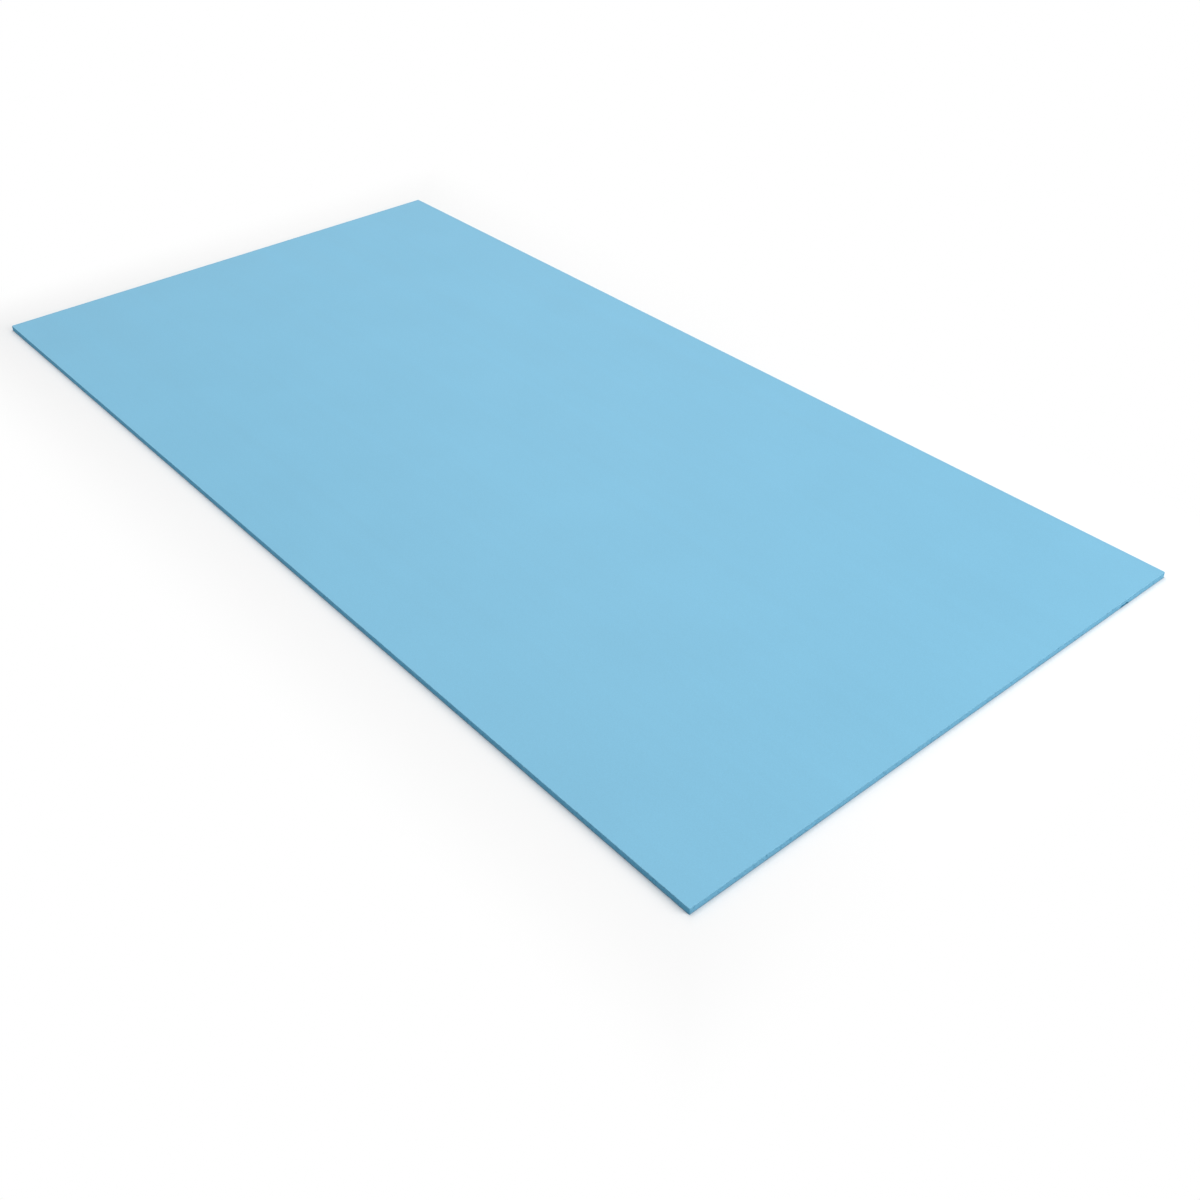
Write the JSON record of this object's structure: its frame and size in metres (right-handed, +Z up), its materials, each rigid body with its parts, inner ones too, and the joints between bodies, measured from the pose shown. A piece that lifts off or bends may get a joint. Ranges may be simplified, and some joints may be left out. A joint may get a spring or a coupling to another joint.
{
  "type": "xps insulation board",
  "caption": "Thin flat rectangular sheet of light blue extruded polystyrene foam with plain square butt edges, for insulating under floors and behind tiles.",
  "frame": {"origin": "middle of the underside, in the plane of the floor that the board lies on", "axes": "+X along the board's length towards the end with the chip, +Y across its width, +Z up through its thickness"},
  "size_m": [1.2, 0.6, 0.006],
  "materials": {
    "xps_foam": "matte"
  },
  "bodies": {
    "root": {"insulation_board": "xps_foam"}
  },
  "joints": []
}
